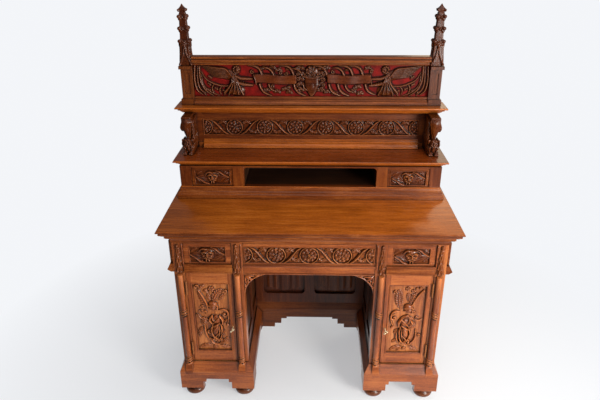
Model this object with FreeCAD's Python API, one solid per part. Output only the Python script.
import FreeCAD
import Part
import math
import os

os.makedirs("parts", exist_ok=True)

V = FreeCAD.Vector
RIGHT = V(1, 0, 0)
BACK = V(0, 1, 0)
UP = V(0, 0, 1)
CENTRE = V(0, 0, 0)
full_turn = 360.0
diagonal_share = math.sqrt(0.5)

# Writing desk in oak: two pedestals with doors, a kneehole, five drawers and a tall carved back.
# Origin on the floor under the middle, X to the right, the front faces -Y, Z up. Millimetres.

# Overall sizes
top_width = 1096.0
top_depth = 520.0
top_height = 780.0

# Fits and cutters
seat_gap = 0.3
door_gap = 1.0
lock_side_gap = 3.2
drawer_gap = 1.0
runner_gap = 0.3
overrun = 5.0

# Carcase
side_overhang = 41.0
pedestal_width = 261.0
front_overhang = 43.0
back_overhang = 15.0
post_size = 40.0
foot_height = 47.0
plinth_height = 80.0
base_moulding_height = 35.0
waist_height = 33.0
drawer_opening_height = 88.0
top_rail_height = 44.0
top_thickness = 24.0
board = 18.0
thin_board = 12.0

# Planes worked out from them
x_out = top_width / 2 - side_overhang
x_in = x_out - pedestal_width
y_front = front_overhang - top_depth / 2
y_back = top_depth / 2 - back_overhang
z_plinth = foot_height + plinth_height
z_door = z_plinth + base_moulding_height
z_top_under = top_height - top_thickness
z_top_rail = z_top_under - top_rail_height
z_drawer = z_top_rail - drawer_opening_height
z_waist = z_drawer - waist_height
x_door_in = x_in + post_size
x_door_out = x_out - post_size

# Feet: a flat-sided bun under each pedestal corner
foot_radius = 40.0
foot_inset = 46.0
foot_sides = 12
foot_shares = ((0.74, 0), (0.94, 0.16), (1.0, 0.40), (0.92, 0.64), (0.68, 0.80), (0.68, 1.0))

# Plinths: mitred boards with bracket cut-outs and corner blocks that carry the feet
plinth_front_out = 31.0
plinth_outer_out = 15.0
plinth_inner_out = 23.0
plinth_board = 22.0
bracket_length = 91.0
bracket_cut_height = 33.0
bracket_step = 12.0
bracket_step_height = 16.0
corner_block = 58.0
base_fillet = 5.0
base_lip = 3.0

# Waist and bed mouldings
waist_out = 12.0
waist_front_out = 9.0
waist_fillet = 8.0
side_frieze_out = 12.0
side_frieze_setback = 12.0
bed_height = 38.0
bed_front_out = 27.0
bed_side_out = 15.0
bed_shares = (
    (0, 0), (0.12, 0), (0.12, 0.14), (0.30, 0.46, 0.80, 0.66), (0.80, 0.78), (1.0, 0.78), (1.0, 1.0),
)
top_shares = ((0, 0), (0.46, 0), (0.46, 0.14), (0.70, 0.22, 0.78, 0.44), (0.88, 0.44), (1.0, 0.68, 0.80, 1.0))
top_edge_out = 16.0

# Side panels and rails
side_rail_height = 53.0
side_rail_depth = 24.0
rail_setback = 4.0
muntin_width = 40.0
panel_thickness = 10.0
panel_groove = 6.0
panel_setback = 8.0

# Linenfold: the folds of one panel, as shares of its width and of the relief depth
fold_relief = 6.0
fold_end_rise = 22.0
fold_border = 9.0
fold_shares = (
    (0, 0), (0.04, 0), (0.04, 0.45), (0.10, 0.80), (0.17, 0.40), (0.17, 0.12), (0.22, 0.12),
    (0.22, 0.70), (0.28, 1.0), (0.34, 0.62), (0.34, 0.30), (0.39, 0.30), (0.39, 0.80), (0.45, 1.0),
    (0.55, 1.0), (0.61, 0.80), (0.61, 0.30), (0.66, 0.30), (0.66, 0.62), (0.72, 1.0), (0.78, 0.70),
    (0.78, 0.12), (0.83, 0.12), (0.83, 0.40), (0.90, 0.80), (0.96, 0.45), (0.96, 0), (1.0, 0),
)

# Colonnettes and leaf drops on the front posts
colonnette_radius = 11.0
colonnette_sides = 12
colonnette_sink = 4.0
colonnette_block = 34.0
colonnette_block_height = 22.0
knot_radius = 14.5
knot_height = 15.0
lower_shaft_radius = 14.0
drop_radius = 14.0
drop_top_gap = 4.0
drop_hang = 8.0
drop_sides = 8
drop_shares = (
    (0.30, 0), (0.80, 0.14), (0.54, 0.20), (0.94, 0.36), (0.62, 0.42), (1.0, 0.60), (0.66, 0.66),
    (0.96, 0.84), (0.60, 1.0),
)
bead_radius = 2.0

# Folded ends of the linenfold: where each fold stops, as shares of the panel's width and of the rise
fold_end_shares = (
    (0, 1.0), (0.11, 0.72), (0.22, 1.0), (0.22, 0.62), (0.305, 0.40), (0.39, 0.62), (0.39, 0.28), (0.5, 0.0),
    (0.61, 0.28), (0.61, 0.62), (0.695, 0.40), (0.78, 0.62), (0.78, 1.0), (0.89, 0.72), (1.0, 1.0),
)

# More of the colonnettes and drops
outer_colonnette_inset = 22.0
inner_colonnette_inset = 24.0
colonnette_weathering = 16.0
low_knot_rise = 30.0
mid_knot_rise = 245.0

# Knee rail, spandrels and kneehole back
knee_rail_height = 44.0
knee_bead_radius = 4.0
knee_bead_drop = 8.0
spandrel_width = 69.0
spandrel_drop = 67.0
spandrel_thickness = 16.0
spandrel_setback = 6.0
knee_recess = 80.0
y_knee = y_back - knee_recess
knee_frame_depth = 24.0
knee_moulding_height = 57.0
knee_moulding_out = 8.0
knee_sill_height = 49.0
knee_head_height = 36.0
knee_stile_width = 34.0
knee_muntin_width = 45.0
knee_corner_radius = 18.0
knee_step_share = 0.40
knee_lip_share = 0.72
apron_step_insets = (58.0, 89.0, 115.0)
apron_step_rises = (21.0, 49.0, 58.0)

# Cupboard fittings
shelf_height = 205.0
shelf_setback = 4.0
cleat_height = 16.0
cleat_lap = 10.0

# Drawers: their boxes run on two strips each
box_lift = 3.0
side_wall = 10.0
drawer_side_gap = 4.0
runner_height = 14.0
drawer_front_thickness = 22.0
drawer_front_setback = 4.0
drawer_box_height = 68.0
drawer_bottom = 6.0
drawer_bottom_lift = 8.0
side_drawer_back_gap = 44.0
centre_drawer_back_gap = 26.0
drawer_field_margin = 24.0
drawer_field_low = 7.0
drawer_field_high = 14.0
drawer_field_depth = 5.0
drawer_field_bevel = 3.0

# Doors
door_thickness = 22.0
door_setback = 4.0
door_stile = 20.0
door_top_rail = 56.0
door_bottom_rail = 52.0
door_panel_thickness = 10.0
door_panel_inset = 8.0
door_panel_lap = 6.0
door_bevel = 5.0

# Butt hinges
hinge_length = 60.0
hinge_end_distance = 70.0
hinge_leaf = 1.5
hinge_leaf_depth = 25.0
hinge_knuckle_radius = 3.2
hinge_pin_radius = 1.6
hinge_pin_gap = 0.05
hinge_knuckles = 3
hinge_knuckle_gap = 0.2
hinge_sides = 8
hinge_bore = (hinge_pin_radius + hinge_pin_gap) / math.cos(math.radians(full_turn / 2 / hinge_sides))
y_hinge = y_front - hinge_knuckle_radius - seat_gap

# Locks, bolts and keys
lock_rise = 173.0
lock_width = 19.0
lock_height = 56.0
lock_depth = 10.0
bolt_height = 10.0
bolt_thickness = 4.0
bolt_length = 15.0
bolt_throw = 8.0
bolt_gap = 0.4
bolt_rise = 10.0
bolt_inset = 3.0
key_radius = 2.4
key_hole_gap = 0.3
key_reach = 20.0
key_bit_depth = 3.0
key_bit_length = 7.0
key_bit_thickness = 2.0
bow_radius = 9.0
bow_hole_radius = 5.5
bow_thickness = 3.0
bow_sides = 10
hole_sides = 12
hole_radius = (key_radius + key_hole_gap) / math.cos(math.radians(full_turn / 2 / hole_sides))
key_stub = 6.0

# Places worked out from the doors and locks
y_door = y_front + door_setback
y_door_back = y_door + door_thickness
y_bolt = y_door_back + bolt_inset
z_lock = z_door + lock_rise
z_bolt = z_lock + bolt_rise

# Gallery: the row of small drawers and the pigeonhole on the desk top
gallery_side_inset = 33.0
gallery_width = top_width - gallery_side_inset - gallery_side_inset
gallery_depth = 201.0
gallery_front = y_back - gallery_depth
gallery_height = 135.0
gallery_base_height = 44.0
gallery_base_out = 15.0
gallery_base_side_out = 16.0
gallery_base_shares = (
    (0, 0), (1.0, 0), (1.0, 0.38), (0.78, 0.44), (0.70, 0.60), (0.30, 0.70), (0.30, 0.84), (0.12, 1.0),
    (0, 1.0),
)
gallery_stile = 45.0
gallery_divider = 44.0
gallery_frame_depth = 22.0
gallery_sill_rise = 5.0
gallery_lintel = 6.0
pigeonhole_width = 524.0
pigeonhole_corner = 16.0
gallery_wall = 12.0
gallery_drawer_back_gap = 23.0
gallery_field_margin = 14.0

# Shelves: both have a moulded front and ends
shelf_edge_shares = (
    (0, 0), (0.20, 0), (0.20, 0.16), (0.42, 0.24, 0.50, 0.48), (0.84, 0.48), (1.0, 0.72, 0.84, 1.0),
)
lower_shelf_side_out = 21.0
lower_shelf_depth = 220.0
lower_shelf_thickness = 25.0
shelf_edge = 19.0
upper_shelf_side_out = 22.0
upper_shelf_depth = 107.0
upper_shelf_thickness = 26.0
upper_bed_height = 16.0
upper_bed_out = 18.0
upper_bed_shares = ((0, 0), (0.2, 0), (0.35, 0.50, 0.80, 0.66), (1.0, 0.66), (1.0, 1.0), (0, 1.0))

# Frieze: the carved back of the display space between the shelves
frieze_height = 156.0
frieze_back_gap = 23.0
frieze_thickness = 22.0
frieze_face = y_back - frieze_back_gap - frieze_thickness
frieze_bottom_rail = 54.0
frieze_field_height = 61.0
frieze_field_inset = 24.0
back_side_gap = 5.0
frieze_panel_inset = 8.0
frieze_panel_thickness = 11.0
frieze_fascia_height = 22.0
frieze_fascia_out = 6.0

# Beasts that hold up the ends of the upper shelf, seen from the side: shares of depth and of height
beast_width = 55.0
beast_side_out = 1.0
beast_depth = 110.0
beast_out = gallery_width / 2 + beast_side_out
beast_shares = (
    (0, 0), (1.0, 0), (1.0, 1.0), (0.42, 1.0), (0.20, 0.99), (0.08, 0.90, 0.10, 0.78), (0.20, 0.70),
    (0.16, 0.55, 0.30, 0.42), (0.26, 0.20), (0.10, 0.14, 0, 0.08),
)

# Crest between the posts
crest_bottom_rail = 32.0
crest_field_height = 124.0
crest_top_rail = 33.0
crest_rail_depth = 34.0
crest_rail_back_gap = 17.0
crest_rail_front = y_back - crest_rail_back_gap - crest_rail_depth
crest_panel_thickness = 12.0
crest_panel_inset = 12.0
crest_panel_face = crest_rail_front + crest_panel_inset
crest_rail_bead = 5.0

# Posts and pinnacles at both ends of the crest
gothic_post_size = 46.0
gothic_post_back_gap = 11.0
gothic_post_out = gallery_width / 2 - back_side_gap
gothic_post_front = y_back - gothic_post_back_gap - gothic_post_size
post_base_height = 23.0
post_block_out = 6.0
post_cap_height = 12.0
post_height = 153.0
post_panel_inset = 12.0
post_panel_depth = 3.0
post_panel_low = 20.0
post_panel_high = 14.0
gablet_height = 111.0
gablet_thickness = 7.0
gablet_shares = ((1.0, 0), (1.0, 0.10), (0.52, 0.30, 0.22, 0.56), (0.12, 1.0))
spire_base = 40.0
spire_tip = 24.0
spire_height = 197.0
crocket_rises = (88.0, 138.0, 181.0)
crocket_out = 8.0
crocket_radius = 8.5
crocket_height = 24.0
crocket_sides = 6
crocket_shares = ((0.55, 0), (1.0, 0.48), (0.45, 1.0))
finial_height = 31.0
finial_radius = 18.0
finial_neck = 10.0
finial_tip = 3.0

# Side of the beasts seen from the front: shares of width and of height
beast_front_shares = (
    (0.18, 0), (1.0, 0), (0.94, 0.22), (1.0, 0.60, 0.92, 0.84), (0.80, 1.0), (0.20, 1.0), (0.08, 0.84),
    (0, 0.60, 0.14, 0.22),
)

# The crest's carving: shares of a piece's length from the middle, and of the field's height
crest_relief = 9.0
scroll_width = 9.0
scroll_facets = 4
scroll_margin_angle = 20.0
scroll_radius_share = 0.40
scroll_centre_shares = (0.42, 0.98)
shield_width_share = 0.14
shield_shares = (
    (-1, 0.86), (-1, 0.40), (-0.70, 0.14), (0, 0.0), (0.70, 0.14), (1, 0.40), (1, 0.86), (0, 0.98),
)
ribbon_length_share = 0.55
crest_end_gap = 34.0
ribbon_shares = (
    (0.2, 0.42), (0.2, 0.68), (0.55, 0.80, 0.92, 0.74), (0.86, 0.58), (1.0, 0.44), (0.60, 0.50, 0.2, 0.42),
)
figure_shares = (
    (0.50, 0.44), (0.62, 0.62), (0.64, 0.90), (0.70, 0.90), (0.76, 0.84), (0.76, 0.70), (1.0, 0.98),
    (0.98, 0.70), (0.80, 0.50), (0.92, 0.10), (0.66, 0.02), (0.62, 0.30),
)


def line(start, end):
    """A straight edge."""
    return Part.LineSegment(start, end).toShape()


def box(x0, x1, y0, y1, z0, z1):
    """A board between six planes."""
    return Part.makeBox(x1 - x0, y1 - y0, z1 - z0, V(x0, y0, z0))


def other_side(shape):
    """The same piece on the other side of the desk."""
    return shape.mirror(CENTRE, RIGHT)


def both_sides(shapes):
    """Each piece and its twin on the other side."""
    return list(shapes) + [other_side(shape) for shape in shapes]


def edges_along(steps, place):
    """Edges through the steps: two numbers are a corner, four are an arc's middle and end."""
    edges = []
    here = place(*steps[0])
    for step in steps[1:]:
        there = place(*step[-2:])
        if len(step) == 4:
            edges.append(Part.Arc(here, place(*step[:2]), there).toShape())
        else:
            edges.append(line(here, there))
        here = there
    return edges


def closed_face(steps, place):
    """The face inside an outline whose last step runs straight back to its first."""
    edges = edges_along(steps, place)
    start = place(*steps[0])
    end = place(*steps[-1][-2:])
    if not end.isEqual(start, seat_gap):
        edges.append(line(end, start))
    return Part.Face(Part.Wire(edges))


def flat_sided(*loops):
    """A solid with flat faces from each loop of corners to the next, and over the first and last."""
    faces = [Part.Face(Part.makePolygon(loop + loop[:1])) for loop in (loops[0], loops[-1])]
    for loop_a, loop_b in zip(loops, loops[1:]):
        for index in range(len(loop_a)):
            after = (index + 1) % len(loop_a)
            side = [loop_a[index], loop_a[after], loop_b[after], loop_b[index]]
            faces.append(Part.Face(Part.makePolygon(side + side[:1])))
    solid = Part.Solid(Part.Shell(faces))
    if solid.Volume < 0:
        solid.reverse()
    return solid


def even_loop(radius, sides):
    """The corners of an even polygon on the XY plane, with a flat side to -Y."""
    angles = [full_turn * (index + 1 / 2) / sides - full_turn / 4 for index in range(sides)]
    return [V(radius * math.cos(math.radians(angle)), radius * math.sin(math.radians(angle)), 0)
            for angle in angles]


def carved_knob(shares, radius, height, sides, x, y, z):
    """An upright carved knob with flat cuts round it."""
    loops = []
    for out, up in shares:
        corners = even_loop(out * radius, sides)
        loops.append([V(x + corner.x, y + corner.y, z + up * height) for corner in corners])
    return flat_sided(*loops)


def frustum_y(x0, x1, z0, z1, y, grown_y, grow):
    """A block along Y whose section grows by the same amount on every side."""
    near = [V(x0, y, z0), V(x1, y, z0), V(x1, y, z1), V(x0, y, z1)]
    far = [V(x0 - grow, grown_y, z0 - grow), V(x1 + grow, grown_y, z0 - grow),
           V(x1 + grow, grown_y, z1 + grow), V(x0 - grow, grown_y, z1 + grow)]
    return flat_sided(near, far)


def moulded_board(shares, half_width, front, back, low, high, side_out, front_out):
    """A board whose front and both ends carry one moulding, mitred where they meet."""
    def front_place(out, up):
        return V(0, front - out * front_out, low + up * (high - low))

    def side_place(out, up):
        return V(half_width + out * side_out, 0, low + up * (high - low))

    first = shares[0]
    last = shares[-1][-2:]
    edges = edges_along(shares, front_place)
    back_high = V(0, back, front_place(*last).z)
    back_low = V(0, back, front_place(*first).z)
    edges.append(line(front_place(*last), back_high))
    edges.append(line(back_high, back_low))
    edges.append(line(back_low, front_place(*first)))
    reach = half_width + side_out + overrun
    along_x = Part.Face(Part.Wire(edges)).extrude(V(reach + reach, 0, 0))
    along_x.translate(V(-reach, 0, 0))
    right = edges_along(shares, side_place)
    left = [other_side(edge) for edge in right]
    corners = [side_place(*point) for point in (first, last)]
    ends = [line(corner, V(-corner.x, 0, corner.z)) for corner in corners]
    outline = Part.Wire(Part.__sortEdges__(right + left + ends))
    along_y = Part.Face(outline).extrude(V(0, back - front + front_out + overrun + overrun, 0))
    along_y.translate(V(0, front - front_out - overrun, 0))
    return along_x.common(along_y)


def mitred_strips(ring, half_width, front, back, low, high, side_out, front_out):
    """The front, right and left strips of a moulding, parted on the lines of its mitres."""
    slope = front_out / side_out
    far = side_out + overrun
    plan = [V(half_width, front, low - overrun), V(half_width + far, front - far * slope, low - overrun),
            V(half_width + far, back + overrun, low - overrun), V(half_width, back + overrun, low - overrun)]
    wedge = Part.Face(Part.makePolygon(plan + plan[:1])).extrude(V(0, 0, high - low + overrun + overrun))
    right = ring.common(wedge)
    middle = ring.cut(wedge).cut(other_side(wedge))
    return [middle, right, other_side(right)]


def moulding_around(shares, half_width, front, back, low, high, side_out, front_out):
    """A mitred moulding on the front and both ends of what it goes round."""
    ring = moulded_board(shares, half_width, front, back, low, high, side_out, front_out)
    ring = ring.cut(box(-half_width, half_width, front, back + overrun, low - overrun, high + overrun))
    return mitred_strips(ring, half_width, front, back, low, high, side_out, front_out)


def save(name, pieces):
    """Writes one sub-part, which may be several separate solids."""
    solids = [solid for piece in pieces for solid in piece.Solids]
    shape = solids[0] if len(solids) == 1 else Part.makeCompound(solids)
    shape.exportStep("parts/" + name + ".step")


def make_feet():
    """Eight bun feet."""
    corners = [(x, y) for x in (x_in - plinth_inner_out + foot_inset, x_out + plinth_outer_out - foot_inset)
               for y in (y_front - plinth_front_out + foot_inset, y_back - foot_inset)]
    feet = [carved_knob(foot_shares, foot_radius, foot_height, foot_sides, x, y, 0) for x, y in corners]
    save("bun_feet", both_sides(feet))


def bracket_cut_x(x0, x1, y0, y1):
    """The stepped gap between the two bracket feet of a board that runs along X."""
    low = box(x0 + bracket_length, x1 - bracket_length, y0, y1,
              foot_height - overrun, foot_height + bracket_cut_height)
    high = box(x0 + bracket_length + bracket_step, x1 - bracket_length - bracket_step, y0, y1,
               foot_height, foot_height + bracket_cut_height + bracket_step_height)
    return low.fuse(high)


def bracket_cut_y(x0, x1, y0, y1):
    """The same gap in a board that runs along Y."""
    low = box(x0, x1, y0 + bracket_length, y1 - bracket_length,
              foot_height - overrun, foot_height + bracket_cut_height)
    high = box(x0, x1, y0 + bracket_length + bracket_step, y1 - bracket_length - bracket_step,
               foot_height, foot_height + bracket_cut_height + bracket_step_height)
    return low.fuse(high)


def make_plinths():
    """Each pedestal's plinth: four boards and four corner blocks."""
    x0 = x_in - plinth_inner_out
    x1 = x_out + plinth_outer_out
    y0 = y_front - plinth_front_out
    y1 = y_back
    front = box(x0, x1, y0, y0 + plinth_board, foot_height, z_plinth)
    front = front.cut(bracket_cut_x(x0, x1, y0 - overrun, y0 + plinth_board + overrun))
    rear = box(x0, x1, y1 - plinth_board, y1, foot_height, z_plinth)
    pieces = [front, rear]
    for x in (x0, x1 - plinth_board):
        side = box(x, x + plinth_board, y0 + plinth_board, y1 - plinth_board, foot_height, z_plinth)
        pieces.append(side.cut(bracket_cut_y(x - overrun, x + plinth_board + overrun, y0, y1)))
    for x in (x0 + plinth_board, x1 - plinth_board - corner_block):
        for y in (y0 + plinth_board, y1 - plinth_board - corner_block):
            pieces.append(box(x, x + corner_block, y, y + corner_block, foot_height, z_plinth))
    save("plinths", both_sides(pieces))


def splay_section(corner, out):
    """One mitred end of the base moulding, from the post line out to the plinth's edge."""
    lip = base_lip / plinth_front_out
    return [V(corner.x, corner.y, z_plinth),
            V(corner.x + out.x, corner.y + out.y, z_plinth),
            V(corner.x + out.x, corner.y + out.y, z_plinth + base_fillet),
            V(corner.x + out.x * lip, corner.y + out.y * lip, z_door - base_lip),
            V(corner.x + out.x * lip, corner.y + out.y * lip, z_door),
            V(corner.x, corner.y, z_door)]


def base_moulding_strips():
    """The splayed moulding on the front and both sides of the right pedestal."""
    inner_front = splay_section(V(x_in, y_front, 0), V(-plinth_inner_out, -plinth_front_out, 0))
    outer_front = splay_section(V(x_out, y_front, 0), V(plinth_outer_out, -plinth_front_out, 0))
    inner_back = splay_section(V(x_in, y_back, 0), V(-plinth_inner_out, 0, 0))
    outer_back = splay_section(V(x_out, y_back, 0), V(plinth_outer_out, 0, 0))
    return [flat_sided(inner_front, outer_front), flat_sided(inner_front, inner_back),
            flat_sided(outer_front, outer_back)]


def make_base_mouldings():
    """The splayed base mouldings of both pedestals."""
    save("base_mouldings", both_sides(base_moulding_strips()))


def linenfold(width, height):
    """A panel with carved folds, standing on X with its face towards -Y, and its tongue all round."""
    body = box(-panel_groove, width + panel_groove, 0, panel_thickness, -panel_groove, height + panel_groove)
    field = width - fold_border - fold_border
    tall = height - fold_border - fold_border

    def across(along, out):
        return V(fold_border + along * field, -out * fold_relief, 0)

    folds = closed_face(fold_shares, across).extrude(V(0, 0, height))

    def low_end(along, up):
        return V(fold_border + along * field, -fold_relief - overrun, fold_border + up * fold_end_rise)

    edges = edges_along(fold_end_shares, low_end)
    left_low = low_end(*fold_end_shares[0])
    right_low = low_end(*fold_end_shares[-1][-2:])
    high = fold_border + tall / 2
    edges.append(line(right_low, V(right_low.x, right_low.y, high)))
    edges.append(line(V(right_low.x, right_low.y, high), V(left_low.x, left_low.y, high)))
    edges.append(line(V(left_low.x, left_low.y, high), left_low))
    lower = Part.Face(Part.Wire(edges)).extrude(V(0, fold_relief + overrun, 0))
    upper = lower.mirror(V(0, 0, high), UP)
    folds = folds.common(lower.fuse(upper).removeSplitter())
    return body.fuse(folds).removeSplitter()


def fielded(width, height):
    """A plain raised-and-fielded panel in the same place as a linenfold one."""
    body = box(-panel_groove, width + panel_groove, 0, panel_thickness, -panel_groove, height + panel_groove)
    raised = frustum_y(fold_end_rise, width - fold_end_rise, fold_end_rise, height - fold_end_rise,
                       -fold_relief, 0, fold_border)
    return body.fuse(raised)


def facing_out(panel, x, y, z):
    """Turns a panel's face to +X, its left edge at y."""
    panel.rotate(CENTRE, UP, full_turn / 4)
    panel.translate(V(x, y, z))
    return panel


def facing_in(panel, x, y, z):
    """Turns a panel's face to -X, its left edge at y."""
    panel.rotate(CENTRE, UP, -full_turn / 4)
    panel.translate(V(x, y, z))
    return panel


def grooved(pieces, panels):
    """The pieces with grooves where the panels' tongues run."""
    result = []
    for piece in pieces:
        for panel in panels:
            if piece.BoundBox.intersect(panel.BoundBox):
                piece = piece.cut(panel)
        result.append(piece)
    return result


def side_panel_list():
    """The right pedestal's panels: two linenfold ones outside and two plain ones in the kneehole."""
    low = z_door + side_rail_height
    high = z_waist - side_rail_height
    start = y_front + post_size
    end = y_back - post_size
    width = (end - start - muntin_width) / 2
    panels = []
    for y in (start, end - width):
        panels.append(facing_out(linenfold(width, high - low), x_out - panel_setback - fold_relief, y, low))
        plain = fielded(width, high - low)
        panels.append(facing_in(plain, x_in + panel_setback + fold_relief, y + width, low))
    return panels


def side_rail_list():
    """The rails and muntins between the right pedestal's front and back posts."""
    start = y_front + post_size
    end = y_back - post_size
    middle = (start + end) / 2
    low = z_door + side_rail_height
    high = z_waist - side_rail_height
    pieces = []
    for x0, x1 in ((x_out - rail_setback - side_rail_depth, x_out - rail_setback),
                   (x_in + rail_setback, x_in + rail_setback + side_rail_depth)):
        pieces.append(box(x0, x1, start, end, z_plinth, low))
        pieces.append(box(x0, x1, start, end, high, z_drawer))
        pieces.append(box(x0, x1, middle - muntin_width / 2, middle + muntin_width / 2, low, high))
    pieces.append(box(x_out - rail_setback - side_rail_depth, x_out, start, end, z_drawer, z_top_under))
    pieces.append(box(x_in, x_in + board, start, end, z_drawer, z_top_under))
    return pieces


def bolt_mortise(z):
    """The pocket in the inner front post that the door's bolt shoots into."""
    return box(x_door_in - bolt_throw, x_door_in + overrun, y_bolt - bolt_gap,
               y_bolt + bolt_thickness + bolt_gap, z - bolt_gap, z + bolt_height + bolt_gap)


def make_frames():
    """Posts, side rails and side panels, grooved together."""
    posts = [box(x, x + post_size, y, y + post_size, z_plinth, z_top_under)
             for x in (x_in, x_door_out) for y in (y_front, y_back - post_size)]
    panels = side_panel_list()
    posts = grooved(posts, panels)
    posts[0] = posts[0].cut(bolt_mortise(z_bolt))
    posts[2] = posts[2].cut(hinge_leaf_beds(x_door_out))
    save("corner_posts", both_sides(posts))
    save("side_rails", both_sides(grooved(side_rail_list(), panels)))
    save("side_panels", both_sides(panels))
    frieze = box(x_out, x_out + side_frieze_out, y_front + side_frieze_setback, y_back,
                 z_drawer, z_top_under - bed_height)
    save("side_friezes", both_sides([frieze]))


def make_front_rails():
    """Rails across the front and the back, between the posts."""
    deep = y_front + post_size
    bay = (x_door_in, x_door_out)
    pieces = both_sides([
        box(*bay, y_front + rail_setback, deep, z_top_rail, z_top_under),
        box(*bay, y_front, deep, z_waist, z_drawer),
        box(*bay, y_front, y_front + plinth_board, z_plinth, z_door - board),
    ])
    centre = box(-x_in, x_in, y_front + rail_setback, deep, z_top_rail, z_top_under)
    pieces.append(centre.cut(centre_bolt_mortise()))
    pieces.append(box(-x_in, x_in, y_back - post_size, y_back, z_top_rail, z_top_under))
    save("front_and_back_rails", pieces)


def make_cupboards():
    """Floor, shelf with its cleats, back and drawer runners of each pedestal."""
    inner = x_in + rail_setback + side_rail_depth
    outer = x_out - rail_setback - side_rail_depth
    start = y_front + post_size
    end = y_back - post_size
    floor = box(x_door_in, x_door_out, y_front, y_back - thin_board, z_door - board, z_door)
    floor = floor.fuse(box(inner, outer, start, end, z_door - board, z_door)).removeSplitter()
    save("cupboard_floors", both_sides([floor]))
    z_shelf = z_door + shelf_height
    cleats = [box(x0, x1, start, end, z_shelf - cleat_height, z_shelf)
              for x0, x1 in ((inner, x_door_in + cleat_lap), (x_door_out - cleat_lap, outer))]
    shelf = box(x_door_in + seat_gap, x_door_out - seat_gap,
                start + shelf_setback, y_back - thin_board - seat_gap, z_shelf, z_shelf + board)
    save("cupboard_shelves", both_sides([shelf] + cleats))
    save("pedestal_backs", both_sides([box(x_door_in, x_door_out, y_back - thin_board, y_back,
                                           z_plinth, z_top_under)]))
    z_run = z_drawer + box_lift - runner_gap
    runners = [box(x_door_out - drawer_side_gap - side_wall, outer, start, end, z_run - runner_height, z_run),
               box(inner, x_door_in + drawer_side_gap + side_wall, start, end, z_run - runner_height, z_run),
               box(x_in - drawer_side_gap - side_wall, x_in, start, y_knee, z_run - runner_height, z_run)]
    save("drawer_runners", both_sides(runners))


def colonnette(x, splays):
    """An engaged shaft with two carved knots on a square base that is scribed to the base moulding."""
    base = z_plinth + colonnette_block_height
    low = z_door + low_knot_rise
    middle = z_door + mid_knot_rise
    half = knot_height / 2
    top = z_waist - drop_hang
    steps = ((lower_shaft_radius, base), (lower_shaft_radius, low - half), (knot_radius, low),
             (colonnette_radius, low + half), (colonnette_radius, middle - half), (knot_radius, middle),
             (colonnette_radius, middle + half), (colonnette_radius, top))
    y_axis = y_front - colonnette_radius + colonnette_sink
    loops = []
    for out, z in steps:
        corners = even_loop(out, colonnette_sides)
        loops.append([V(x + corner.x, y_axis + corner.y, z) for corner in corners])
    shaft = flat_sided(*loops)
    half_block = colonnette_block / 2
    block_front = y_front - plinth_front_out + base_lip
    foot = box(x - half_block, x + half_block, block_front, y_front, z_plinth, base)
    weathering = flat_sided(
        [V(x - half_block, block_front, base), V(x + half_block, block_front, base),
         V(x + half_block, y_front, base), V(x - half_block, y_front, base)],
        [V(x - lower_shaft_radius, y_axis - lower_shaft_radius, base + colonnette_weathering),
         V(x + lower_shaft_radius, y_axis - lower_shaft_radius, base + colonnette_weathering),
         V(x + lower_shaft_radius, y_front, base + colonnette_weathering),
         V(x - lower_shaft_radius, y_front, base + colonnette_weathering)])
    piece = shaft.fuse([foot, weathering])
    room = box(x - colonnette_block, x + colonnette_block, block_front - overrun, y_front, z_plinth, top)
    piece = piece.common(room)
    for splay in splays:
        piece = piece.cut(splay)
    return piece


def leaf_drop(x):
    """A hanging cluster of carved leaves on the post beside a drawer."""
    low = z_waist - drop_hang
    high = z_top_under - bed_height - drop_top_gap
    piece = carved_knob(drop_shares, drop_radius, high - low, drop_sides, x, y_front, low)
    return piece.common(box(x - post_size, x + post_size, y_front - post_size, y_front, low, high))


def make_front_carving():
    """Colonnettes, leaf drops and the beads beside them."""
    splays = base_moulding_strips()
    places = (x_in + inner_colonnette_inset, x_out - outer_colonnette_inset)
    save("colonnettes", both_sides([colonnette(x, splays) for x in places]))
    drops = [leaf_drop(x) for x in places]
    for x in (x_in + bead_radius + bead_radius, x_door_out + bead_radius):
        tall = z_top_under - bed_height - drop_top_gap - z_drawer
        room = box(x - bead_radius, x + bead_radius, y_front - post_size, y_front, z_drawer, z_top_under)
        drops.append(flat_post(bead_radius, tall, x, y_front, z_drawer).common(room))
    save("leaf_drops", both_sides(drops))


def make_waist():
    """Waist mouldings under the side drawers, and the knee rail with its bead and spandrels."""
    def at_front(x):
        return [V(x, y_front, z_waist), V(x, y_front - waist_front_out, z_waist),
                V(x, y_front - waist_front_out, z_waist + waist_fillet),
                V(x, y_front - base_lip, z_drawer), V(x, y_front, z_drawer)]

    def at_side(y):
        return [V(x_out, y, z_waist), V(x_out + side_frieze_out, y, z_waist),
                V(x_out + side_frieze_out + waist_out, y, z_waist + waist_fillet),
                V(x_out + side_frieze_out + waist_out, y, z_waist + waist_fillet + base_lip),
                V(x_out + side_frieze_out, y, z_drawer), V(x_out, y, z_drawer)]

    save("waist_mouldings", both_sides([flat_sided(at_front(x_door_in), at_front(x_door_out)),
                                        flat_sided(at_side(y_front), at_side(y_back))]))
    face = y_front + base_lip
    rail = box(-x_in, x_in, face, y_front + post_size, z_drawer - knee_rail_height, z_drawer)
    bead = Part.makeCylinder(knee_bead_radius, x_in + x_in, V(-x_in, face, z_drawer - knee_bead_drop), RIGHT)
    bead = bead.common(box(-x_in, x_in, face - overrun, face, z_waist, z_drawer))
    save("knee_rail", [rail.fuse(bead)])
    z_rail = z_drawer - knee_rail_height
    side = closed_face(((0, 0), (1, 0), (1 - diagonal_share, 1 - diagonal_share, 0, 1)),
                       lambda along, down: V(x_in - along * spandrel_width, y_front + spandrel_setback,
                                             z_rail - down * spandrel_drop))
    save("spandrels", both_sides([side.extrude(V(0, spandrel_thickness, 0))]))


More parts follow.
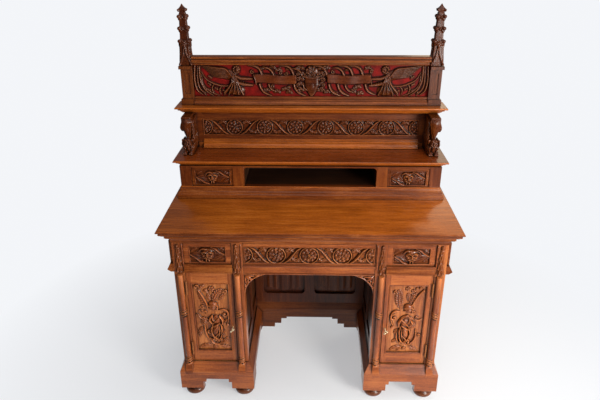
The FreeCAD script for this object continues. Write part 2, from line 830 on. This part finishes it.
def make_knee_back():
    """The framed linenfold back of the kneehole, with its mouldings and stepped apron."""
    half = x_in + rail_setback
    y0 = y_knee
    y1 = y_knee + knee_frame_depth
    low = z_plinth + knee_moulding_height
    high = z_drawer + box_lift - runner_gap - runner_height
    sill = low + knee_sill_height
    head = high - knee_head_height
    stile = half - x_in + knee_stile_width
    frame = box(-half, half, y0, y1, low, z_drawer).fuse(box(-x_in, x_in, y0, y1, z_drawer, z_top_under))
    width = half - stile - knee_muntin_width / 2
    panels = []
    for x in (-half + stile, knee_muntin_width / 2):
        window = box(x, x + width, y0 - overrun, y1 + overrun, sill, head)
        low_edges = [edge for edge in window.Edges
                     if edge.BoundBox.YLength > knee_frame_depth and edge.CenterOfMass.z < sill + seat_gap]
        frame = frame.cut(window.makeFillet(knee_corner_radius, low_edges))
        panel = linenfold(width, head - sill)
        panel.translate(V(x, y1 - panel_thickness, sill))
        panels.append(panel)
    frame = frame.cut(box_of(panels[0])).cut(box_of(panels[1]))
    panels = [panel.common(box(-half, half, y0, y1, low, high)) for panel in panels]
    panels = [panel.cut(frame) for panel in panels]
    splays = both_sides(base_moulding_strips())
    steps = ((0, 0), (1, 0), (1, knee_step_share), (knee_lip_share, 1), (0, 1))
    moulding = closed_face(steps, lambda out, up: V(-half, y1 - out * (knee_frame_depth + knee_moulding_out),
                                                    z_plinth + up * knee_moulding_height))
    moulding = moulding.extrude(V(half + half, 0, 0))
    for splay in splays:
        moulding = moulding.cut(splay)
    inner = x_in - plinth_inner_out
    apron = box(-inner, inner, y0 - knee_moulding_out, y1, foot_height, z_plinth)
    for inset, rise in zip(apron_step_insets, apron_step_rises):
        apron = apron.cut(box(inset - inner, inner - inset, y0 - knee_moulding_out - overrun, y1 + overrun,
                              foot_height - overrun, foot_height + rise))
    save("knee_back_frame", [frame, moulding, apron])
    save("knee_back_panels", panels)


def box_of(panel):
    """The plain block that a panel's tongue runs in."""
    bound = panel.BoundBox
    return box(bound.XMin, bound.XMax, bound.YMax - panel_thickness, bound.YMax, bound.ZMin, bound.ZMax)


def hinge_places():
    """Lower ends of a door's two hinges."""
    return (z_door + door_gap + hinge_end_distance - hinge_length / 2,
            z_waist - door_gap - hinge_end_distance - hinge_length / 2)


def hinge_leaf_beds(x):
    """Shallow beds that let two hinge leaves into the wood from x onwards."""
    beds = [box(x, x + hinge_leaf, y_hinge, y_hinge + hinge_leaf_depth, z, z + hinge_length)
            for z in hinge_places()]
    return beds[0].fuse(beds[1])


def flat_post(radius, height, x, y, z):
    """An upright rod with the flat sides of a hinge's knuckle."""
    return carved_knob(((1, 0), (1, 1)), radius, height, hinge_sides, x, y, z)


def hinge_half(x, own):
    """Two leaves of a door's hinges with the knuckles whose numbers are in own."""
    x_pin = x_door_out - door_gap / 2
    pitch = hinge_length / hinge_knuckles
    halves = []
    clear = y_hinge + hinge_knuckle_radius + hinge_knuckle_gap
    for z in hinge_places():
        leaf = box(x, x + hinge_leaf, y_hinge, y_hinge + hinge_leaf_depth, z, z + hinge_length)
        for index in range(hinge_knuckles):
            low = z + index * pitch
            if index in own:
                leaf = leaf.fuse(flat_post(hinge_knuckle_radius, pitch - hinge_knuckle_gap, x_pin, y_hinge,
                                           low + hinge_knuckle_gap / 2))
            else:
                leaf = leaf.cut(box(x, x + hinge_leaf, y_hinge, clear, low, low + pitch))
        bore = flat_post(hinge_bore, hinge_length + overrun + overrun, x_pin, y_hinge, z - overrun)
        halves.append(leaf.cut(bore))
    return halves


def hinge_pins():
    """The loose pins of a door's two hinges."""
    x_pin = x_door_out - door_gap / 2
    return [flat_post(hinge_pin_radius, hinge_length, x_pin, y_hinge, z) for z in hinge_places()]


def flat_rod(radius, sides, length, start, along):
    """A rod with an even number of flat sides, from a point along X or Y."""
    loop = even_loop(radius, sides)
    rod = Part.Face(Part.makePolygon(loop + loop[:1])).extrude(V(0, 0, length))
    rod.rotate(CENTRE, UP.cross(along), full_turn / 4)
    rod.translate(start)
    return rod


def key_at(x, y_face, z, y_end):
    """A key in its lock: a ring bow, a stem along Y and a bit that points down."""
    stem = flat_rod(key_radius, hole_sides, y_end - y_face + key_reach, V(x, y_face - key_reach, z), BACK)
    bow_at = V(x - bow_thickness / 2, y_face - key_reach - bow_hole_radius, z)
    bow = flat_rod(bow_radius, bow_sides, bow_thickness, bow_at, RIGHT)
    hole = flat_rod(bow_hole_radius, bow_sides, bow_thickness, bow_at, RIGHT)
    collar = flat_rod(key_radius + key_bit_thickness / 2, bow_sides, key_bit_thickness,
                      V(x, y_face - key_stub, z), BACK)
    bit = box(x - key_bit_thickness / 2, x + key_bit_thickness / 2, y_end - key_bit_depth, y_end,
              z - key_bit_length, z)
    return stem.fuse([bow.cut(hole), collar, bit]).cut(hole).removeSplitter()


def lock_case(x0, x1, y0, z0, z1, key_x, key_z, bolt_room):
    """A small cut lock on the back of the wood, hollow round the key's bit and the bolt."""
    case = box(x0, x1, y0, y0 + lock_depth, z0, z1)
    stem = flat_rod(hole_radius, hole_sides, lock_depth, V(key_x, y0 - overrun, key_z), BACK)
    wall = (lock_depth - key_bit_depth - key_bit_thickness) / 2
    room = (key_bit_length + bolt_gap) / math.cos(math.radians(full_turn / 2 / hole_sides))
    turn = flat_rod(room, hole_sides, lock_depth - wall - wall, V(key_x, y0 + wall, key_z), BACK)
    return case.cut(stem).cut(turn).cut(bolt_room)


def make_door(side, place):
    """One door with its panel, hinges, lock, key and bolt; place puts it on its side of the desk."""
    x0 = x_door_in + lock_side_gap
    x1 = x_door_out - door_gap
    z0 = z_door + door_gap
    z1 = z_waist - door_gap
    inner = x0 + door_stile
    outer = x1 - door_stile
    low = z0 + door_bottom_rail
    high = z1 - door_top_rail
    lap = door_panel_lap
    panel_y = y_door + door_panel_inset
    panel = box(inner - lap, outer + lap, panel_y, panel_y + door_panel_thickness, low - lap, high + lap)
    bevel = frustum_y(inner, outer, low, high, y_door + door_bevel, y_door, door_bevel)
    key_x = x0 + door_stile / 2
    hole = flat_rod(hole_radius, hole_sides, door_thickness + overrun + overrun,
                    V(key_x, y_door - overrun, z_lock), BACK)
    members = [
        box(x0, inner, y_door, y_door_back, z0, z1).cut(hole),
        box(outer, x1, y_door, y_door_back, z0, z1).cut(hinge_leaf_beds(x1 - hinge_leaf)),
        box(inner, outer, y_door, y_door_back, high, z1),
        box(inner, outer, y_door, y_door_back, z0, low),
    ]
    members = [member.cut(panel).cut(bevel) for member in members]
    save(side + "_door_frame", [place(member) for member in members])
    save(side + "_door_panel", [place(panel)])
    halves = hinge_half(x1 - hinge_leaf, range(1, hinge_knuckles, 2))
    save(side + "_door_hinges", [place(half) for half in halves])
    bolt = box(x0 + door_gap, x0 + door_gap + bolt_length, y_bolt, y_bolt + bolt_thickness,
               z_bolt, z_bolt + bolt_height)
    room = box(x0 - overrun, x0 + door_gap + bolt_length + bolt_gap, y_bolt - bolt_gap,
               y_bolt + bolt_thickness + bolt_gap, z_bolt - bolt_gap, z_bolt + bolt_height + bolt_gap)
    case = lock_case(x0, x0 + lock_width, y_door_back, z_lock - lock_height / 2, z_lock + lock_height / 2,
                     key_x, z_lock, room)
    save(side + "_door_lock", [place(case)])
    save(side + "_bolt", [place(bolt)])
    key = key_at(key_x, y_door, z_lock, y_door_back + lock_depth / 2 + key_bit_depth / 2)
    save(side + "_key", [place(key)])


def make_doors():
    """Both doors and the case halves of their hinges."""
    make_door("right", lambda shape: shape)
    make_door("left", other_side)
    save("hinges_on_posts", both_sides(hinge_half(x_door_out, range(0, hinge_knuckles, 2)) + hinge_pins()))


def drawer_box(x0, x1, y0, y1, z0, height):
    """A drawer's sides, back and bottom behind its front."""
    inner = (x0 + side_wall, x1 - side_wall)
    low = z0 + drawer_bottom_lift
    return [box(x0, inner[0], y0, y1, z0, z0 + height), box(inner[1], x1, y0, y1, z0, z0 + height),
            box(*inner, y1 - side_wall, y1, low + drawer_bottom, z0 + height),
            box(*inner, y0, y1, low, low + drawer_bottom)]


def drawer_front(x0, x1, y, z0, z1, margin, depth):
    """A front board with a sunk field for its carving."""
    front = box(x0, x1, y, y + drawer_front_thickness, z0, z1)
    field = box(x0 + margin, x1 - margin, y - overrun, y + depth,
                z0 + drawer_field_low, z1 - drawer_field_high)
    bevel = frustum_y(x0 + margin, x1 - margin, z0 + drawer_field_low, z1 - drawer_field_high,
                      y + drawer_field_bevel, y, drawer_field_bevel)
    return front.cut(field).cut(bevel)


def centre_lock_height():
    """The height of the centre drawer's key."""
    return z_drawer + drawer_gap + drawer_field_low + (drawer_opening_height - drawer_field_low
                                                       - drawer_field_high) / 2


def centre_bolt(grow, throw):
    """The centre drawer's upright bolt, or with grow the room it needs."""
    low = centre_lock_height() + bolt_rise + bolt_inset
    top = z_top_rail - drawer_gap - bolt_inset
    return box(-bolt_height / 2 - grow, bolt_height / 2 + grow, y_bolt - grow,
               y_bolt + bolt_thickness + grow, low - grow, top + throw + grow)


def centre_bolt_mortise():
    """The pocket in the rail over the centre drawer."""
    return centre_bolt(bolt_gap, bolt_throw)


def make_drawers():
    """The three drawers under the desk top, and the centre one's lock, key and bolt."""
    y = y_front + drawer_front_setback
    z0 = z_drawer + drawer_gap
    z1 = z_top_rail - drawer_gap
    y_box = y + drawer_front_thickness
    z_box = z_drawer + box_lift
    left, right = x_door_in + drawer_gap, x_door_out - drawer_gap
    front = drawer_front(left, right, y, z0, z1, drawer_field_margin, drawer_field_depth)
    case = drawer_box(x_door_in + drawer_side_gap, x_door_out - drawer_side_gap, y_box,
                      y_back - thin_board - side_drawer_back_gap, z_box, drawer_box_height)
    for side, place in (("right", lambda shape: shape), ("left", other_side)):
        save(side + "_drawer_front", [place(front)])
        save(side + "_drawer_box", [place(piece) for piece in case])
    z_key = centre_lock_height()
    hole = flat_rod(hole_radius, hole_sides, drawer_front_thickness + overrun + overrun,
                    V(0, y - overrun, z_key), BACK)
    half = x_in - drawer_gap
    front = drawer_front(-half, half, y, z0, z1, drawer_field_low, drawer_field_depth)
    save("centre_drawer_front", [front.cut(hole)])
    save("centre_drawer_box", drawer_box(-x_in + drawer_side_gap, x_in - drawer_side_gap, y_box,
                                         y_knee - centre_drawer_back_gap, z_box, drawer_box_height))
    half = lock_width / 2
    save("centre_lock", [lock_case(-half, half, y_box, z_key - half, z1, 0, z_key,
                                   centre_bolt(bolt_gap, bolt_throw + overrun))])
    save("centre_bolt", [centre_bolt(0, 0)])
    save("centre_key", [key_at(0, y + drawer_field_depth, z_key, y_box + lock_depth / 2 + key_bit_depth / 2)])


def make_top():
    """The desk top and the bed moulding under it."""
    half = top_width / 2 - top_edge_out
    front = top_edge_out - top_depth / 2
    save("desk_top", [moulded_board(top_shares, half, front, top_depth / 2, z_top_under, top_height,
                                    top_edge_out, top_edge_out)])
    low = z_top_under - bed_height
    strips = moulding_around(bed_shares, x_out, y_front, y_back, low, z_top_under,
                             bed_side_out, bed_front_out)
    save("top_bed_mouldings", strips)


def make_gallery():
    """The low case on the desk top: ends, dividers, back, face frame and base moulding."""
    half = gallery_width / 2
    z0 = top_height
    z1 = top_height + gallery_height
    z_sill = z0 + gallery_base_height + gallery_sill_rise
    y0 = gallery_front
    y1 = y0 + gallery_frame_depth
    y_rear = y_back - gallery_wall
    hole = pigeonhole_width / 2
    sill = box(-half, half, y0, y1, z0, z_sill)
    frame = [sill]
    stiles = [box(half - gallery_stile, half, y0, y1, z_sill, z1),
              box(hole, hole + gallery_divider, y0, y1, z_sill, z1)]
    lintels = [box(hole + gallery_divider, half - gallery_stile, y0, y1, z1 - gallery_lintel, z1)]
    corner = pigeonhole_corner

    def corner_place(along, down):
        return V(hole - along * corner, y0, z1 - gallery_lintel - down * corner)

    bracket = closed_face(((0, 0), (1, 0), (1 - diagonal_share, 1 - diagonal_share, 0, 1)), corner_place)
    frame += both_sides(stiles + lintels + [bracket.extrude(V(0, gallery_frame_depth, 0))])
    frame.append(box(-hole, hole, y0, y1, z1 - gallery_lintel, z1))
    save("gallery_frame", frame)
    walls = [box(half - board, half, y1, y_rear, z0, z1),
             box(hole, hole + gallery_wall, y1, y_rear, z_sill, z1),
             box(hole + gallery_divider - gallery_wall, hole + gallery_divider, y1, y_rear, z_sill, z1)]
    save("gallery_walls", both_sides(walls))
    save("gallery_floor", [box(board - half, half - board, y1, y_rear, z_sill - gallery_wall, z_sill)])
    save("gallery_back", [box(-half, half, y_rear, y_back, z0, z1)])
    strips = moulding_around(gallery_base_shares, half, y0, y_back, z0, z0 + gallery_base_height,
                             gallery_base_side_out, gallery_base_out)
    save("gallery_base_mouldings", strips)


def make_gallery_drawers():
    """The two small drawers beside the pigeonhole."""
    z0 = top_height + gallery_base_height + gallery_sill_rise + drawer_gap
    z1 = top_height + gallery_height - gallery_lintel - drawer_gap
    x0 = pigeonhole_width / 2 + gallery_divider + drawer_gap
    x1 = gallery_width / 2 - gallery_stile - drawer_gap
    y = gallery_front + drawer_front_setback
    front = drawer_front(x0, x1, y, z0, z1, gallery_field_margin, drawer_field_depth)
    y_box = y + drawer_front_thickness
    case = drawer_box(x0 + drawer_gap, x1 - drawer_gap,
                      y_box, y_back - gallery_wall - gallery_drawer_back_gap,
                      z0 - drawer_gap + runner_gap, z1 - z0 - drawer_front_setback)
    for side, place in (("right", lambda shape: shape), ("left", other_side)):
        save(side + "_gallery_drawer", [place(piece) for piece in [front] + case])


def make_shelves():
    """Both shelves and the bed moulding under the upper one."""
    z0 = top_height + gallery_height
    z1 = z0 + lower_shelf_thickness
    half = gallery_width / 2 - shelf_edge
    lower = moulded_board(shelf_edge_shares, half + lower_shelf_side_out,
                          y_back - lower_shelf_depth + shelf_edge, y_back, z0, z1, shelf_edge, shelf_edge)
    save("lower_shelf", [lower])
    z2 = z1 + frieze_height
    upper = moulded_board(shelf_edge_shares, half + upper_shelf_side_out,
                          y_back - upper_shelf_depth + shelf_edge, y_back, z2, z2 + upper_shelf_thickness,
                          shelf_edge, shelf_edge)
    save("upper_shelf", [upper])


def make_frieze():
    """The framed and carved back between the shelves, with the bed moulding over it."""
    z0 = top_height + gallery_height + lower_shelf_thickness
    z1 = z0 + frieze_height
    low = z0 + frieze_bottom_rail
    high = low + frieze_field_height
    beast_inner = beast_out - beast_width
    half = beast_inner - frieze_field_inset
    end = gallery_width / 2 - back_side_gap
    y0 = frieze_face
    y1 = y0 + frieze_thickness
    members = [box(-end, end, y0, y1, z0, low), box(-end, end, y0, y1, high, z1)]
    members += both_sides([box(half, end, y0, y1, low, high)])
    lap = panel_groove
    y_panel = y0 + frieze_panel_inset
    panel = box(-half - lap, half + lap, y_panel, y_panel + frieze_panel_thickness, low - lap, high + lap)
    members = [member.cut(panel) for member in members]
    fascia = box(-beast_inner, beast_inner, y0 - frieze_fascia_out, y0, z0, z0 + frieze_fascia_height)
    save("frieze_panel", [panel])
    bed_low = z1 - upper_bed_height
    section = closed_face(upper_bed_shares, lambda out, up: V(-half, y0 - out * upper_bed_out,
                                                               bed_low + up * upper_bed_height))
    strip = section.extrude(V(half + half, 0, 0))
    save("frieze_frame", members + [fascia, strip])


def make_beasts():
    """The seated beasts under the ends of the upper shelf."""
    z0 = top_height + gallery_height + lower_shelf_thickness
    x0 = beast_out - beast_width
    y0 = frieze_face - beast_depth
    side = closed_face(beast_shares, lambda back, up: V(x0, y0 + back * beast_depth, z0 + up * frieze_height))
    front = closed_face(beast_front_shares,
                        lambda out, up: V(x0 + out * beast_width, y0, z0 + up * frieze_height))
    piece = side.extrude(V(beast_width, 0, 0)).common(front.extrude(V(0, beast_depth, 0)))
    save("beast_brackets", both_sides([piece]))


def crest_rail(low, high):
    """A rail of the crest with a bead along the middle of its face."""
    half = gothic_post_out - gothic_post_size
    rail = box(-half, half, crest_rail_front, crest_rail_front + crest_rail_depth, low, high)
    bead = Part.makeCylinder(crest_rail_bead, half + half,
                             V(-half, crest_rail_front, (low + high) / 2), RIGHT)
    room = box(-half, half, crest_rail_front - crest_rail_bead, crest_rail_front, low, high)
    return rail.fuse(bead.common(room))


def make_crest():
    """The panel of the crest in its rails, and the carving laid on its ground."""
    z0 = top_height + gallery_height + lower_shelf_thickness + frieze_height + upper_shelf_thickness
    low = z0 + crest_bottom_rail
    high = low + crest_field_height
    half = gothic_post_out - gothic_post_size
    panel = box(-half, half, crest_panel_face, crest_panel_face + crest_panel_thickness,
                low - panel_groove, high + panel_groove)
    save("crest_rails", [crest_rail(z0, low).cut(panel), crest_rail(high, high + crest_top_rail).cut(panel)])
    save("crest_panel", [panel])
    save("crest_carving", crest_carving(low, high))


def scroll_arc(x, z, radius, side):
    """A flat arched stem of the crest's carving, which bows away from the rail on its side."""
    y = crest_panel_face - crest_relief
    loop = []
    for out, order in ((radius + scroll_width / 2, 1), (radius - scroll_width / 2, -1)):
        arch = []
        for step in range(scroll_facets + 1):
            share = step / scroll_facets
            last_angle = full_turn / 2 - scroll_margin_angle
            angle = math.radians((1 - share) * scroll_margin_angle + share * last_angle)
            arch.append(V(x + out * math.cos(angle), y, z - side * out * math.sin(angle)))
        loop += arch[::order]
    return Part.Face(Part.makePolygon(loop + loop[:1])).extrude(V(0, crest_relief, 0))


def crest_carving(low, high):
    """Blank shield and ribbon among arched stems, in the red ground's field."""
    middle = (low + high) / 2
    tall = high - low
    figure_length = gothic_post_out - gothic_post_size - crest_end_gap
    ribbon_length = figure_length * ribbon_length_share
    face = crest_panel_face - crest_relief
    field = box(-gothic_post_out, gothic_post_out, face, crest_panel_face, low, high)

    def plate(shares, width):
        outline = closed_face(shares, lambda along, up: V(along * width, face, low + up * tall))
        return outline.extrude(V(0, crest_relief, 0))

    pieces = [plate(shield_shares, figure_length * shield_width_share)]
    for sign in (1, -1):
        pieces.append(plate(ribbon_shares, sign * ribbon_length))
        pieces.append(plate(figure_shares, sign * figure_length))
        for share in scroll_centre_shares:
            for side in (1, -1):
                x = sign * share * ribbon_length
                pieces.append(scroll_arc(x, middle + side * tall / 2, tall * scroll_radius_share, side))
    whole = pieces[0].fuse(pieces[1:]).common(field).removeSplitter()
    return whole.Solids


def gablet(x, y, z, turn):
    """A thin ogee gablet on one face of a pinnacle."""
    half = gothic_post_size / 2
    steps = edges_along(gablet_shares, lambda out, up: V(out * half, -half, up * gablet_height))
    mirrored = [edge.mirror(CENTRE, RIGHT) for edge in steps]
    first = V(gablet_shares[0][0] * half, -half, 0)
    last = V(gablet_shares[-1][-2] * half, -half, gablet_height)
    ends = [line(first, V(-first.x, first.y, first.z)), line(last, V(-last.x, last.y, last.z))]
    face = Part.Face(Part.Wire(Part.__sortEdges__(steps + mirrored + ends)))
    piece = face.extrude(V(0, gablet_thickness, 0))
    piece.rotate(CENTRE, UP, turn)
    piece.translate(V(x, y, z))
    return piece


def square_loop(x, y, z, half):
    """Four corners round a vertical axis."""
    return [V(x - half, y - half, z), V(x + half, y - half, z),
            V(x + half, y + half, z), V(x - half, y + half, z)]


def make_pinnacles():
    """Posts with sunk panels, and above them gablets, a crocketed spire and a finial."""
    z0 = top_height + gallery_height + lower_shelf_thickness + frieze_height + upper_shelf_thickness
    z_cap = z0 + post_height
    half = gothic_post_size / 2
    x = gothic_post_out - half
    y = gothic_post_front + half
    post = box(x - half, x + half, y - half, y + half, z0, z_cap)
    block = half + post_block_out
    clear = box(x - block - overrun, x - half, y - block, y + block, z0, z_cap)
    foot = box(x - block, x + block, y - block, y + block, z0, z0 + post_base_height)
    cap = box(x - block, x + block, y - block, y + block, z_cap - post_cap_height, z_cap)
    post = post.fuse([foot, cap]).cut(clear)
    for turn in (0, 1):
        sunk = box(-half + post_panel_inset, half - post_panel_inset,
                   -half - overrun, -half + post_panel_depth,
                   post_base_height + post_panel_low, post_height - post_cap_height - post_panel_high)
        sunk.rotate(CENTRE, UP, turn * full_turn / 4)
        sunk.translate(V(x, y, z0))
        post = post.cut(sunk)
    save("gothic_posts", both_sides([post]))
    z_tip = z_cap + spire_height
    z_top = z_tip + finial_height
    spire = flat_sided(square_loop(x, y, z_cap, spire_base / 2), square_loop(x, y, z_tip, spire_tip / 2))
    parts = [gablet(x, y, z_cap, turn * full_turn / 4) for turn in range(4)]
    for rise in crocket_rises:
        share = rise / spire_height
        corner = (spire_base + (spire_tip - spire_base) * share) / 2 + crocket_out - crocket_radius
        for place in square_loop(x, y, z_cap + rise - crocket_height / 2, corner):
            parts.append(carved_knob(crocket_shares, crocket_radius, crocket_height, crocket_sides, *place))
    z_eave = z_tip + finial_neck
    parts.append(flat_sided(square_loop(x, y, z_tip, spire_tip / 2), square_loop(x, y, z_eave, finial_radius),
                            square_loop(x, y, z_top, finial_tip / 2)))
    save("pinnacles", both_sides([spire.fuse(parts).removeSplitter()]))


make_feet()
make_plinths()
make_base_mouldings()
make_frames()
make_front_rails()
make_cupboards()
make_front_carving()
make_waist()
make_knee_back()
make_doors()
make_drawers()
make_top()
make_gallery()
make_gallery_drawers()
make_shelves()
make_frieze()
make_beasts()
make_crest()
make_pinnacles()
